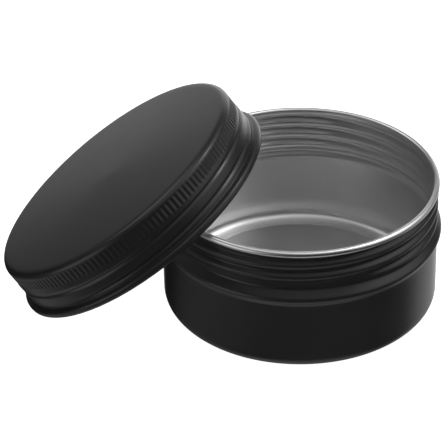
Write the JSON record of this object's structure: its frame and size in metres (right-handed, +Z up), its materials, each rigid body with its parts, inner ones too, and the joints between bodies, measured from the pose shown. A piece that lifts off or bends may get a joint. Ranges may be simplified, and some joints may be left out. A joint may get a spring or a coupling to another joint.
{
  "type": "screw-top candle tin",
  "caption": "Round drawn aluminium candle tin with a rolled screw thread, and its knurled screw lid with a foam sealing disc, off and leaning on the rim.",
  "frame": {"origin": "centre of the cup's foot, on the surface it stands on", "axes": "+Z up along the cup's axis; the lid leans on the cup's -X side"},
  "size_m": [0.1136, 0.0767, 0.0532],
  "materials": {
    "black_lacquered_aluminium": "satin",
    "white_foam": "matte"
  },
  "bodies": {
    "tin_body": {"cup": "black_lacquered_aluminium"},
    "liner": {"liner": "white_foam"},
    "lid": {"lid": "black_lacquered_aluminium"}
  },
  "joints": [
    {"name": "lid_lift", "type": "slide", "parent": "tin_body", "child": "liner", "axis": [-0.5789, 0.054, 0.8136], "range_m": [0, 0.08]},
    {"name": "lid_turn", "type": "hinge", "parent": "liner", "child": "lid", "pos_m": [-0.04814, 0.00301, 0.0328], "axis": [-0.5789, 0.054, 0.8136], "continuous": true}
  ]
}
